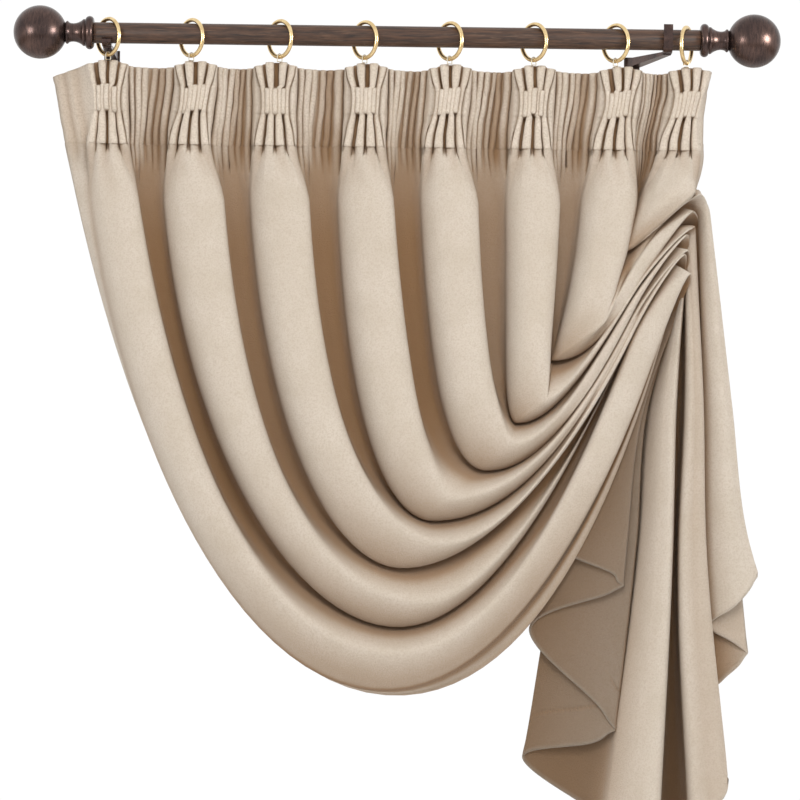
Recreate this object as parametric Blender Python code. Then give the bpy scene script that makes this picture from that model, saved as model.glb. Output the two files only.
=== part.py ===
"""Velvet blackout curtain, swagged to one side, hung by rings on a rod with ball finials and two wall brackets.

The script's lengths are millimetres in three hanging measures: x runs right along the rod, drop runs down
from the rod's axis, and front runs from the rod's axis into the room. place() turns them into metres.
"""

import math
from collections import namedtuple

import bmesh
import bpy
import numpy as np
from mathutils import Matrix, Vector

MM = 0.001

# Rod and ball finials
ROD_RADIUS = 12.5
ROD_LEFT = -367.0
ROD_RIGHT = 360.0
BALL_RADIUS = 32.0
BALL_STEPS = 12
FINIAL_SIDES = 20
BEAD_ANGLES = [math.radians(30 * step) for step in range(1, 6)]
GAP = 0.3

# Wall brackets: the rod's axis is PROJECTION from the wall, the plates' middles PLATE_DROP below it
PROJECTION = 85.0
PLATE_X = -351.5
PLATE_DROP = 43.0
PLATE_WIDTH = 19.0
PLATE_HEIGHT = 58.0
PLATE_THICKNESS = 3.5
SCREW_HOLE_RADIUS = 2.3
SCREW_SPACING = 22.0
HOOK_WIDTH = 11.0
HOOK_THICKNESS = 3.5
HOOK_SWEEP = 145.0
HOOK_STEPS = 9
RIGHT_PLATE_X = 283.5
RIGHT_HOOK_X = 321.0
LEFT_LIP_DROP = 7.0
RIGHT_LIP_DROP = -18.0

# Rings and their wire eyes
RING_RADIUS = 21.5
RING_WIRE = 2.5
RING_STEPS = 26
EYE_WIRE = 0.7
EYE_ANGLES = [math.radians(30 * step) for step in range(1, 6)]

# Middle of each ring along the rod, and the angle by which it has swung about the vertical
RINGS = [(-350, 41), (-250, 41), (-144, 41), (-42, 41), (60, 41), (161, 41), (259, 41), (344, -21)]

# Cloth
CLOTH_THICKNESS = 2.0
HEAD_TOP = 33.0
HEAD_SAG = 7.0
HEAD_CORNER = 12.0
HEAD_SET_BACK = 11.0
NECK_DROP = 132.0
FOLDS = 8
COLUMNS_PER_KNOT = 3
HEAD_ROWS = 22
SWAG_ROWS = 72
TURN_ROWS = 9
TURN_REACH = 20.0
TAIL_ROWS = 44
KEPT_SHARE = 0.06

# Edges of the folds in the swag. Each falls from the heading's seam at its neck, rounds its belly and
# rises to the tie. The handles of its curve are lean and fall at the neck, sweep and rise at the belly,
# and pull_x and pull_drop at the tie. Swell is how far its belly stands in front of the rod's axis.
FoldEdge = namedtuple(
    "FoldEdge",
    "name neck lean fall belly_x belly_drop sweep rise tie_x tie_drop pull_x pull_drop swell",
)
FOLD_EDGES = [
    FoldEdge("lead", -402, 62, 300, 5, 791, 210, 190, 334, 304, 22, 190, 4),
    FoldEdge("out1", -378, 26, 300, -10, 784, 192, 182, 337, 292, 36, 160, 14),
    FoldEdge("in1", -322, 38, 300, 0, 738, 170, 165, 331, 263, 50, 110, 20),
    FoldEdge("out2", -284, 6, 300, 5, 707, 140, 136, 330, 262, 46, 150, 20),
    FoldEdge("in2", -214, 14, 300, 35, 676, 146, 100, 329, 261, 60, 150, 20),
    FoldEdge("out3", -179, 6, 290, 10, 636, 95, 128, 328, 257, 46, 130, 27),
    FoldEdge("in3", -110, 8, 300, 65, 605, 96, 80, 327, 254, 72, 140, 29),
    FoldEdge("out4", -73, 8, 310, 46, 579, 58, 122, 326, 250, 72, 140, 29),
    FoldEdge("in4", -10, 10, 290, 108, 555, 70, 55, 326, 247, 84, 156, 30),
    FoldEdge("out5", 26, 12, 270, 110, 518, 46, 80, 327, 242, 74, 130, 30),
    FoldEdge("in5", 94, 4, 250, 145, 491, 28, 42, 328, 238, 84, 144, 30),
    FoldEdge("out6", 130, 8, 220, 146, 461, 20, 55, 330, 231, 76, 124, 30),
    FoldEdge("in6", 196, -5, 210, 182, 433, 6, 20, 331, 228, 82, 120, 28),
    FoldEdge("out7", 224, 2, 150, 188, 386, 1, 34, 330, 225, 62, 88, 26),
    FoldEdge("in7", 291, 0, 120, 250, 338, 8, 6, 337, 204, 62, 70, 22),
    FoldEdge("out8", 304, -10, 60, 271, 254, 2, 14, 339, 197, 28, 26, 18),
    FoldEdge("in8", 362, 0, 20, 354, 184, 3, 2, 355, 186, 2, 1, 10),
    FoldEdge("trail", 366, 2, 20, 358, 178, 2, 1, 359, 180, 1, 1, 2),
]

# One fold's section, from the outer edge of its ridge (across 0) over its inner edge (across 1) to the
# outer edge of the next (across 2). Front runs from -1, the floor of the valley, to 1, the crest.
Crimp = namedtuple("Crimp", "fall_across fall_front belly_across belly_front rise_across rise_front")
CRIMPS = [
    Crimp(0.00, -0.30, 0.00, 0.00, 0.00, -0.20),
    Crimp(0.10, 0.15, 0.10, 0.50, 0.06, 0.50),
    Crimp(0.28, 0.75, 0.32, 0.88, 0.30, 1.00),
    Crimp(0.52, 1.00, 0.60, 1.00, 0.62, 1.00),
    Crimp(0.80, 0.95, 0.90, 0.85, 0.92, 0.60),
    Crimp(0.97, 0.60, 1.12, 0.60, 1.02, 0.10),
    Crimp(1.00, 0.05, 1.30, 0.30, 1.06, -0.40),
    Crimp(0.95, -0.55, 1.50, -0.05, 1.15, -0.80),
    Crimp(1.02, -0.92, 1.72, -0.40, 1.38, -1.00),
    Crimp(1.30, -1.00, 1.93, -0.80, 1.66, -1.00),
    Crimp(1.62, -0.95, 2.06, -0.95, 1.92, -0.90),
    Crimp(1.88, -0.65, 2.10, -0.55, 2.03, -0.60),
]

# The pinch pleats of the heading: the middle of each at its stitched pinch.
PLEATS = [-345, -243, -143, -40, 60, 160, 262, 340]
FINGERS = 4
TUCKS = 4

# The heading from its top edge to its seam: half width of a pleat, how far it stands forward, how deep
# its fingers are, and x of the leading and trailing edges.
HeadLevel = namedtuple("HeadLevel", "drop half front finger lead trail")
HEAD_LEVELS = [
    HeadLevel(33, 23, 11, 5.0, -414, 375),
    HeadLevel(50, 24, 12, 6.0, -413, 372),
    HeadLevel(62, 20, 10, 3.5, -411, 369),
    HeadLevel(70, 18, 9, 2.5, -410, 368),
    HeadLevel(94, 18, 9, 2.5, -407, 366),
    HeadLevel(104, 23, 11, 5.0, -405, 366),
    HeadLevel(132, 30, 13, 7.0, -402, 366),
]

# Lines down the tail below the tie: the share of the cloth's width left of each, where it leaves the
# turned-over folds, its x at the thigh and the knee, its end on the hem, and its front near the top
# and at the hem.
TailLine = namedtuple("TailLine", "name share top_x top_drop thigh knee hem_x hem_drop top_front hem_front")
THIGH, KNEE = 440.0, 600.0
TAIL_LINES = [
    TailLine("inner_edge", 0.00, 332, 328, 288, 226, 212, 620, -14, -8),
    TailLine("corner_1", 0.08, 339, 324, 299, 281, 277, 656, -13, -8),
    TailLine("back_1", 0.16, 334, 321, 278, 210, 166, 709, -18, -18),
    TailLine("corner_2", 0.25, 342, 317, 304, 292, 271, 831, -22, -20),
    TailLine("back_2", 0.34, 339, 313, 282, 212, 160, 866, -27, -30),
    TailLine("gap_1", 0.42, 341, 309, 308, 296, 256, 937, -30, -36),
    TailLine("left_2", 0.46, 341, 305, 311, 299, 263, 945, -18, -12),
    TailLine("crest_2", 0.50, 343, 300, 325, 318, 292, 956, -10, 6),
    TailLine("right_2", 0.54, 346, 294, 338, 334, 324, 962, -14, 0),
    TailLine("gap_2", 0.575, 348, 278, 343, 338, 340, 962, -24, -26),
    TailLine("left_3", 0.61, 349, 262, 347, 342, 357, 955, -16, 0),
    TailLine("crest_3", 0.65, 354, 250, 359, 358, 384, 925, -8, 10),
    TailLine("right_3", 0.70, 359, 240, 369, 374, 404, 886, -12, 4),
    TailLine("back_3", 0.76, 357, 234, 362, 364, 368, 850, -26, -24),
    TailLine("corner_3", 0.82, 364, 224, 395, 413, 428, 735, -24, -16),
    TailLine("back_4", 0.87, 363, 216, 371, 376, 381, 704, -18, -10),
    TailLine("crest_4", 0.91, 369, 210, 388, 402, 411, 677, -10, 2),
    TailLine("corner_4", 0.96, 375, 207, 404, 426, 438, 641, -12, -4),
    TailLine("outer_edge", 1.00, 370, 210, 396, 414, 420, 634, -24, -14),
]

# Front of the whole cloth and half depth of its folds, along the swag from neck to tie.
Level = namedtuple("Level", "along swell depth")
SWAG_LEVELS = [
    Level(0.00, 0.00, 13),
    Level(0.12, 0.25, 20),
    Level(0.30, 0.70, 24),
    Level(0.50, 1.00, 20),
    Level(0.75, 0.80, 12),
    Level(0.92, 0.45, 8),
    Level(1.00, 0.30, 8),
]


def place(x, drop, front):
    """Hanging measures to metres, with the origin on the back of the left bracket's plate."""
    return Vector(((x - PLATE_X) * MM, (-PROJECTION - front) * MM, (PLATE_DROP - drop) * MM))


def smoothstep(low, high, value):
    share = np.clip((value - low) / (high - low), 0.0, 1.0)
    return share * share * (3 - 2 * share)


def through(knots, values, at):
    """A smooth curve through values at the knots."""
    knots = np.asarray(knots, float)
    values = np.asarray(values, float)
    slopes = np.gradient(values, knots, axis=0)
    span = np.clip(np.searchsorted(knots, at, side="right") - 1, 0, len(knots) - 2)
    width = knots[span + 1] - knots[span]
    s = (at - knots[span]) / width
    shape = (-1,) + (1,) * (values.ndim - 1)
    s = s.reshape(shape)
    width = width.reshape(shape)
    return (
        (1 + 2 * s) * (1 - s) ** 2 * values[span]
        + s * (1 - s) ** 2 * width * slopes[span]
        + s * s * (3 - 2 * s) * values[span + 1]
        - s * s * (1 - s) * width * slopes[span + 1]
    )


def bezier(start, leave, arrive, end, s):
    r = 1 - s
    return r**3 * start + 3 * r * r * s * leave + 3 * r * s * s * arrive + s**3 * end


def fold_edge_at(edge, along):
    """x and drop of a fold's edge: along runs 0 at the neck, 0.5 at the belly, 1 at the tie."""
    neck = np.array([edge.neck, NECK_DROP])
    belly = np.array([edge.belly_x, edge.belly_drop])
    tie = np.array([edge.tie_x, edge.tie_drop])
    if along < 0.5:
        return bezier(neck, neck + [edge.lean, edge.fall], belly - [edge.sweep, 0], belly, 2 * along)
    arrive = tie + [-edge.pull_x, edge.pull_drop]
    return bezier(belly, belly + [edge.rise, 0], arrive, tie, 2 * along - 1)


def crimp_knots(edges, ways, fronts, swells, depth):
    """The knots of one row, from the leading edge to the trailing edge: x, drop and front of each."""
    knots = [(*edges[0], fronts[0]), (*(edges[0] + edges[1]) / 2, fronts[1])]
    for fold in range(FOLDS):
        first = 1 + 2 * fold
        rows = CRIMPS if fold < FOLDS - 1 else CRIMPS[:7]
        for crimp in rows:
            across = ways @ [crimp.fall_across, crimp.belly_across, crimp.rise_across]
            front = ways @ [crimp.fall_front, crimp.belly_front, crimp.rise_front]
            if fold == FOLDS - 1:
                across = min(across, 1.0)
            band = min(int(across), 2)
            start, end = edges[first + band], edges[min(first + band + 1, len(edges) - 1)]
            lift = swells[first + band] * (1 - across + band) + (across - band) * swells[
                min(first + band + 1, len(edges) - 1)
            ]
            spot = start + (across - band) * (end - start)
            knots.append((*spot, lift + depth * front))
    knots.append((*(edges[-2] * 0.4 + edges[-1] * 0.6), fronts[2]))
    knots.append((*edges[-1], fronts[3]))
    return np.array(knots)


KNOTS = 2 + (FOLDS - 1) * len(CRIMPS) + 7 + 2
COLUMNS = (KNOTS - 1) * COLUMNS_PER_KNOT + 1
COLUMN_KNOTS = np.linspace(0, KNOTS - 1, COLUMNS)
FALL, BELLY, RISE = np.eye(3)


def finger_front(drop_fade, depth, columns):
    """Fingers of the pleats and small tucks between them, as a front to add to each column."""
    period = (columns - 2) / len(CRIMPS)
    fold = np.clip(np.floor(period), 0, FOLDS - 1)
    across = 2 * (period - fold)
    on_pleat = (across >= 0) & (across <= 1)
    fingers = np.abs(np.sin(math.pi * FINGERS * across)) ** 0.8 - 0.6
    ends = np.clip(4 * across, 0, 1) * np.clip(4 * (1 - across), 0, 1)
    tucks = 0.5 - 0.5 * np.cos(2 * math.pi * TUCKS * (across - 1))
    between = (across > 1) & (across < 2) & (period < FOLDS - 0.5)
    front = np.where(on_pleat, depth * fingers * np.sqrt(ends), 0)
    front += np.where(between, 0.45 * depth * (tucks - 0.5) * np.sin(math.pi * (across - 1)), 0)
    return front * drop_fade


def head_row(drop):
    drops = [level.drop for level in HEAD_LEVELS]

    def level_of(column):
        return float(np.interp(drop, drops, [getattr(level, column) for level in HEAD_LEVELS]))

    half = level_of("half")
    edges = [np.array([level_of("lead"), drop])]
    seam = smoothstep(94, NECK_DROP, drop)
    for fold, middle in enumerate(PLEATS):
        out, inner = FOLD_EDGES[1 + 2 * fold], FOLD_EDGES[2 + 2 * fold]
        right = min(middle + half, level_of("trail") - 6)
        edges.append(np.array([(middle - half) * (1 - seam) + out.neck * seam, drop]))
        edges.append(np.array([right * (1 - seam) + inner.neck * seam, drop]))
    edges.append(np.array([level_of("trail"), drop]))
    depth = level_of("front")
    knots = crimp_knots(edges, FALL, (-24, -14, -8, -16), np.zeros(len(edges)), depth)
    row = through(np.arange(KNOTS), knots, COLUMN_KNOTS)
    row[:, 2] += finger_front(1.0, level_of("finger"), COLUMN_KNOTS) - HEAD_SET_BACK
    return row


def swag_row(along):
    edges = [fold_edge_at(edge, along) for edge in FOLD_EDGES]
    stations = [level.along for level in SWAG_LEVELS]
    swell = through(stations, [level.swell for level in SWAG_LEVELS], np.array([along]))[0]
    depth = through(stations, [level.depth for level in SWAG_LEVELS], np.array([along]))[0]
    swells = np.array([edge.swell for edge in FOLD_EDGES]) * swell
    turn = smoothstep(0.22, 0.46, along)
    lift = smoothstep(0.60, 0.85, along)
    ways = FALL * (1 - turn) + turn * (BELLY * (1 - lift) + RISE * lift)
    back = 1 - smoothstep(0.3, 0.6, along)
    fronts = (-24 * back - 4 * (1 - back), -14 * back, -8, -16)
    knots = crimp_knots(edges, ways, fronts, swells, depth)
    row = through(np.arange(KNOTS), knots, COLUMN_KNOTS)
    fade = 1 - smoothstep(NECK_DROP + 5, NECK_DROP + 70, row[:, 1])
    row[:, 2] -= HEAD_SET_BACK * (1 - smoothstep(0.0, 0.3, along))
    if along < 0.3:
        row[:, 2] += finger_front(fade, HEAD_LEVELS[-1].finger, COLUMN_KNOTS)
    return row


def tail_row(down):
    """down runs 0 where the tail leaves the turned-over folds to 1 at the hem."""
    spots = []
    share = smoothstep(0.0, 0.35, down)
    for line in TAIL_LINES:
        drop = line.top_drop + (line.hem_drop - line.top_drop) * down
        drops = [line.top_drop, THIGH, KNEE, line.hem_drop]
        x = through(drops, [line.top_x, line.thigh, line.knee, line.hem_x], np.array([drop]))[0]
        spots.append((x, drop, line.top_front * (1 - share) + line.hem_front * share))
    return through([line.share for line in TAIL_LINES], spots, np.linspace(0, 1, COLUMNS))


def turn_rows(last, before, tail, after):
    """Rows that turn the ends of the folds over, from the swag's last row to the tail's first."""
    leave = last - before
    leave *= TURN_REACH / np.linalg.norm(leave, axis=1, keepdims=True)
    leave[:, 2] = -4
    arrive = tail - after
    arrive *= 1.6 * TURN_REACH / np.linalg.norm(arrive, axis=1, keepdims=True)
    steps = np.linspace(0, 1, TURN_ROWS + 2)[1:-1]
    return [bezier(last, last + leave, tail + arrive, tail, s) for s in steps]


def curtain_rows():
    rows = []
    for drop in np.linspace(HEAD_TOP, NECK_DROP, HEAD_ROWS)[:-1]:
        rows.append(head_row(drop))
    apart = np.abs(np.sin(math.pi * (COLUMN_KNOTS - 5) / len(CRIMPS)))
    sag = HEAD_SAG * smoothstep(0.2, 1.0, apart)
    sag += HEAD_CORNER * np.clip(1 - COLUMN_KNOTS / 2, 0, 1)
    for row in rows[:6]:
        row[:, 1] += sag * (1 - (row[:, 1] - HEAD_TOP) / 30).clip(0, 1)
    swag = [swag_row(along) for along in np.linspace(0, 1, SWAG_ROWS)]
    tail = [tail_row(down) for down in np.linspace(0, 1, TAIL_ROWS)]
    rows += swag
    rows += turn_rows(swag[-1], swag[-3], tail[0], tail[1])
    rows += tail
    return rows


def clear_scene():
    for obj in list(bpy.data.objects):
        bpy.data.objects.remove(obj)


def material(name, colour, roughness, metallic=0.0):
    made = bpy.data.materials.new(name)
    made.use_nodes = True
    shader = made.node_tree.nodes["Principled BSDF"]
    shader.inputs["Base Color"].default_value = (*colour, 1.0)
    shader.inputs["Roughness"].default_value = roughness
    shader.inputs["Metallic"].default_value = metallic
    return made


def add_object(name, bm, surface, smooth=True):
    mesh = bpy.data.meshes.new(name)
    bmesh.ops.recalc_face_normals(bm, faces=bm.faces)
    bm.to_mesh(mesh)
    bm.free()
    if surface:
        mesh.materials.append(surface)
    for polygon in mesh.polygons:
        polygon.use_smooth = smooth
    obj = bpy.data.objects.new(name, mesh)
    bpy.context.scene.collection.objects.link(obj)
    return obj


def make_curtain(surface):
    rows = curtain_rows()
    bm = bmesh.new()
    bmesh.ops.create_grid(bm, x_segments=COLUMNS - 1, y_segments=len(rows) - 1, size=0.5)
    bm.verts.ensure_lookup_table()
    for vert in bm.verts:
        column = round((vert.co.x + 0.5) * (COLUMNS - 1))
        row = round((0.5 - vert.co.y) * (len(rows) - 1))
        vert.co = place(*rows[row][column])
    curtain = add_object("curtain", bm, surface)
    thin = curtain.modifiers.new("Fewer faces", "DECIMATE")
    thin.ratio = KEPT_SHARE
    thick = curtain.modifiers.new("Thickness", "SOLIDIFY")
    thick.thickness = CLOTH_THICKNESS * MM
    thick.offset = 0
    return curtain


def make_rod(surface):
    bm = bmesh.new()
    middle = place((ROD_LEFT + ROD_RIGHT) / 2, 0, 0)
    turn = Matrix.Translation(middle) @ Matrix.Rotation(math.radians(90), 4, "Y")
    bmesh.ops.create_cone(
        bm,
        cap_ends=True,
        segments=28,
        radius1=ROD_RADIUS * MM,
        radius2=ROD_RADIUS * MM,
        depth=(ROD_RIGHT - ROD_LEFT) * MM,
        matrix=turn,
    )
    return add_object("rod", bm, surface)


def finial_profile():
    """Distance from the rod's end and radius, from the bead at the rod to the far pole of the ball."""
    profile = [(0.0, 0.0), (0.0, 15.0)]
    profile += [(7.5 - 7.5 * math.cos(a), 15.5 + 4.5 * math.sin(a)) for a in BEAD_ANGLES]
    profile += [(15.6, 17.0), (18.0, 16.4), (22.0, 13.6), (27.0, 11.6), (30.0, 11.2)]
    profile += [(31.5, 13.2), (33.2, 13.4), (34.4, 11.0)]
    middle = 34.4 + math.sqrt(BALL_RADIUS**2 - 11.0**2)
    first = math.pi - math.asin(11.0 / BALL_RADIUS)
    for step in range(1, BALL_STEPS):
        angle = first * (1 - step / BALL_STEPS)
        profile.append((middle + BALL_RADIUS * math.cos(angle), BALL_RADIUS * math.sin(angle)))
    profile.append((middle + BALL_RADIUS, 0.0))
    return profile


def make_finial(name, end, side, surface):
    """A turned bead, bell and ball beyond the rod's end, to the left for side -1 or the right for 1."""
    bm = bmesh.new()
    verts = [bm.verts.new(place(end + side * (GAP + away), -r, 0)) for away, r in finial_profile()]
    edges = [bm.edges.new(pair) for pair in zip(verts[:-1], verts[1:])]
    bmesh.ops.spin(
        bm,
        geom=verts + edges,
        cent=place(end, 0, 0),
        axis=(1, 0, 0),
        angle=2 * math.pi,
        steps=FINIAL_SIDES,
        use_merge=True,
    )
    bmesh.ops.remove_doubles(bm, verts=bm.verts, dist=1e-6)
    return add_object(name, bm, surface)


def wire_gap(drop, yaw):
    """Least distance between a ring's wire and the rod when its middle hangs this far below the axis."""
    least = 1e9
    for step in range(360):
        angle = math.radians(step)
        front = RING_RADIUS * math.cos(angle) * math.cos(yaw)
        least = min(least, math.hypot(front, drop + RING_RADIUS * math.sin(angle)))
    return least - ROD_RADIUS - RING_WIRE


def ring_drop(yaw):
    """How far a turned ring's middle hangs below the rod's axis before its wire meets the rod."""
    drop = RING_RADIUS - ROD_RADIUS - RING_WIRE
    while wire_gap(drop, yaw) < GAP:
        drop -= 0.02
    return drop


def make_ring(name, x, yaw, surface):
    bm = bmesh.new()
    drop = ring_drop(yaw)
    upright = Matrix.Translation(place(x, drop, 0)) @ Matrix.Rotation(yaw, 4, "Z")
    section_place = Matrix.Translation((0, -RING_RADIUS * MM, 0))
    circle = bmesh.ops.create_circle(
        bm, segments=8, radius=RING_WIRE * MM, matrix=upright @ section_place
    )
    bmesh.ops.spin(
        bm,
        geom=circle["verts"] + list(bm.edges),
        cent=upright.translation,
        axis=upright.to_3x3() @ Vector((1, 0, 0)),
        angle=2 * math.pi,
        steps=RING_STEPS,
        use_merge=True,
    )
    bmesh.ops.remove_doubles(bm, verts=bm.verts, dist=1e-6)
    return add_object(name, bm, surface)


def make_eye(name, x, yaw, surface):
    """A closed wire eye over the bottom of a ring, its straight foot on the heading's top edge."""
    bend = (RING_WIRE + GAP + EYE_WIRE) / math.cos(EYE_ANGLES[0] / 2)
    wire_drop = ring_drop(yaw) + RING_RADIUS
    foot = HEAD_TOP - GAP - EYE_WIRE
    spots = [(bend, foot), (bend, wire_drop)]
    spots += [(bend * math.cos(a), wire_drop - bend * math.sin(a)) for a in EYE_ANGLES]
    spots += [(-bend, wire_drop), (-bend, foot)]
    curve = bpy.data.curves.new(name, "CURVE")
    curve.dimensions = "3D"
    curve.bevel_depth = EYE_WIRE * MM
    curve.bevel_resolution = 1
    line = curve.splines.new("POLY")
    line.points.add(len(spots) - 1)
    for point, (across, drop) in zip(line.points, spots):
        spot = place(x + across * math.cos(yaw), drop, -across * math.sin(yaw))
        point.co = (*spot, 1.0)
    line.use_cyclic_u = True
    curve.materials.append(surface)
    eye = bpy.data.objects.new(name, curve)
    bpy.context.scene.collection.objects.link(eye)
    return eye


def add_prism(name, outline, x, width):
    """A prism along the rod from an outline of (front, drop) pairs, with its middle at x."""
    bm = bmesh.new()
    verts = [bm.verts.new(place(x - width / 2, drop, front)) for front, drop in outline]
    face = bm.faces.new(verts)
    grown = bmesh.ops.extrude_face_region(bm, geom=[face])
    moved = [item for item in grown["geom"] if isinstance(item, bmesh.types.BMVert)]
    bmesh.ops.translate(bm, verts=moved, vec=(width * MM, 0, 0))
    return add_object(name, bm, None, smooth=False)


def hook_outline(lip_drop):
    """The cradle under the rod, seen along it, with its front lip ending at lip_drop."""
    inner = (ROD_RADIUS + GAP) / math.cos(math.radians(HOOK_SWEEP / HOOK_STEPS / 2))
    outer = inner + HOOK_THICKNESS
    inside, outside = [], []
    for step in range(HOOK_STEPS + 1):
        angle = math.radians(180 - HOOK_SWEEP + HOOK_SWEEP * step / HOOK_STEPS)
        inside.append((-inner * math.cos(angle), inner * math.sin(angle)))
        outside.append((-outer * math.cos(angle), outer * math.sin(angle)))
        if lip_drop > inside[-1][1]:
            break
    if lip_drop < 0:
        inside += [(inner, lip_drop + 2), (inner + 1, lip_drop + 0.4)]
        outside += [(outer, lip_drop + 2), (outer - 1, lip_drop + 0.4)]
    return inside + outside[::-1]


def add_block(name, corners):
    """A six-sided block from its eight corners: the four at the wall, then the four in front."""
    bm = bmesh.new()
    verts = [bm.verts.new(place(*corner)) for corner in corners]
    for face in ((0, 1, 2, 3), (7, 6, 5, 4), (0, 4, 5, 1), (1, 5, 6, 2), (2, 6, 7, 3), (3, 7, 4, 0)):
        bm.faces.new([verts[index] for index in face])
    return add_object(name, bm, None, smooth=False)


def section(x, front, width, top, bottom):
    """Four corners of an upright rectangle across the arm."""
    half = width / 2
    return [
        (x - half, top, front),
        (x + half, top, front),
        (x + half, bottom, front),
        (x - half, bottom, front),
    ]


def add_boolean(obj, operation, other):
    cut = obj.modifiers.new(other.name, "BOOLEAN")
    cut.operation = operation
    cut.object = other
    other.hide_render = True
    other.display_type = "WIRE"


def make_bracket(name, plate_x, hook_x, lip_drop, surface):
    """A screwed plate, an arm raked from it to the hook, and the hook that cradles the rod."""
    back = -PROJECTION
    face = back + PLATE_THICKNESS
    top = PLATE_DROP - PLATE_HEIGHT / 2
    bottom = PLATE_DROP + PLATE_HEIGHT / 2
    bracket = add_block(
        name,
        section(plate_x, back, PLATE_WIDTH, top, bottom)
        + section(plate_x, face, PLATE_WIDTH, top, bottom),
    )
    bracket.data.materials.append(surface)
    arm = add_block(
        name + "_arm",
        section(plate_x, face - 2, 15, top + 1.5, top + 13)
        + section(hook_x, -3, HOOK_WIDTH - 1, ROD_RADIUS + 1.3, ROD_RADIUS + 5.2),
    )
    hook = add_prism(name + "_hook", hook_outline(lip_drop), hook_x, HOOK_WIDTH)
    add_boolean(bracket, "UNION", arm)
    add_boolean(bracket, "UNION", hook)
    for side in (-1, 1):
        hole = bmesh.new()
        middle = place(plate_x, PLATE_DROP + side * SCREW_SPACING / 2, back + PLATE_THICKNESS / 2)
        bmesh.ops.create_cone(
            hole,
            cap_ends=True,
            segments=16,
            radius1=SCREW_HOLE_RADIUS * MM,
            radius2=SCREW_HOLE_RADIUS * MM,
            depth=3 * PLATE_THICKNESS * MM,
            matrix=Matrix.Translation(middle) @ Matrix.Rotation(math.radians(90), 4, "X"),
        )
        cutter = add_object(f"{name}_screw_hole_{side + 2}", hole, None, smooth=False)
        add_boolean(bracket, "DIFFERENCE", cutter)
    return bracket


def main():
    clear_scene()
    velvet = material("velvet", (0.72, 0.64, 0.54), 0.9)
    bronze = material("dark bronze", (0.10, 0.065, 0.055), 0.35, 0.9)
    stained = material("stained rod", (0.09, 0.045, 0.03), 0.45)
    brass = material("brass", (0.75, 0.55, 0.25), 0.25, 1.0)
    wire = material("pale wire", (0.78, 0.75, 0.66), 0.35, 0.8)
    make_curtain(velvet)
    make_rod(stained)
    make_finial("finial_left", ROD_LEFT, -1, bronze)
    make_finial("finial_right", ROD_RIGHT, 1, bronze)
    make_bracket("bracket_left", PLATE_X, PLATE_X, LEFT_LIP_DROP, bronze)
    make_bracket("bracket_right", RIGHT_PLATE_X, RIGHT_HOOK_X, RIGHT_LIP_DROP, bronze)
    for number, (x, yaw) in enumerate(RINGS, start=1):
        make_ring(f"ring_{number}", x, math.radians(yaw), brass)
        make_eye(f"eye_{number}", x, math.radians(yaw), wire)


main()
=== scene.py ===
import math
from collections import namedtuple

import bmesh
import bpy
import numpy as np
from mathutils import Matrix, Vector, noise


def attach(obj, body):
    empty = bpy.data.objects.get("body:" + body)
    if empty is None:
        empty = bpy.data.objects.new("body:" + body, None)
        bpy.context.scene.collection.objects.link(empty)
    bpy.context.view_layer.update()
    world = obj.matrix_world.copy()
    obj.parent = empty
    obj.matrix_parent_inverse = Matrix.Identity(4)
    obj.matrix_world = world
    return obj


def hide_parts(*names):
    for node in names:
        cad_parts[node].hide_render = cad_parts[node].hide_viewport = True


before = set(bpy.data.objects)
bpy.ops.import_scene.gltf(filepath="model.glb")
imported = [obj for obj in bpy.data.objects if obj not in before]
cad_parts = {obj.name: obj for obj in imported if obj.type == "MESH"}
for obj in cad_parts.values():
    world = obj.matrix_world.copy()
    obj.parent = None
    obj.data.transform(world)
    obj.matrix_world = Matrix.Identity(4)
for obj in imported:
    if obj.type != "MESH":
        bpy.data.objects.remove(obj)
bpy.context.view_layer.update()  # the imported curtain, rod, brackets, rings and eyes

mm = 0.001

# Lengths are millimetres in three hanging measures: x runs right along the rod, drop runs down from
# the rod's axis, front runs from the rod's axis into the room.
hanging = {"plateX": -351.5, "plateDrop": 43.0, "projection": 85.0}


def place(x, drop, front):
    return Vector((
        (x - hanging["plateX"]) * mm,
        (-hanging["projection"] - front) * mm,
        (hanging["plateDrop"] - drop) * mm,
    ))


def smoothstep(low, high, value):
    share = np.clip((value - low) / (high - low), 0.0, 1.0)
    return share * share * (3 - 2 * share)


def through(knots, values, at):  # a smooth curve through values at the knots
    knots = np.asarray(knots, float)
    values = np.asarray(values, float)
    slopes = np.gradient(values, knots, axis=0)
    span = np.clip(np.searchsorted(knots, at, side="right") - 1, 0, len(knots) - 2)
    width = knots[span + 1] - knots[span]
    s = (at - knots[span]) / width
    shape = (-1,) + (1,) * (values.ndim - 1)
    s = s.reshape(shape)
    width = width.reshape(shape)
    return (
        (1 + 2 * s) * (1 - s) ** 2 * values[span]
        + s * (1 - s) ** 2 * width * slopes[span]
        + s * s * (3 - 2 * s) * values[span + 1]
        - s * s * (1 - s) * width * slopes[span + 1]
    )


def bezier(start, leave, arrive, end, s):
    r = 1 - s
    return r**3 * start + 3 * r * r * s * leave + 3 * r * s * s * arrive + s**3 * end


def wander(*seeds):  # a fixed number from -1 to 1 for each set of seeds
    value = sum(seed * factor for seed, factor in zip(seeds, (12.9898, 78.233, 37.719, 9.151)))
    return 2 * ((math.sin(value) * 43758.5453) % 1.0) - 1


# the finishes
def newMaterial(name):
    made = bpy.data.materials.new(name)
    made.use_nodes = True
    tree = made.node_tree
    spots = tree.nodes.new("ShaderNodeTexCoord").outputs["Object"]
    return made, tree, tree.nodes["Principled BSDF"], spots


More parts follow.
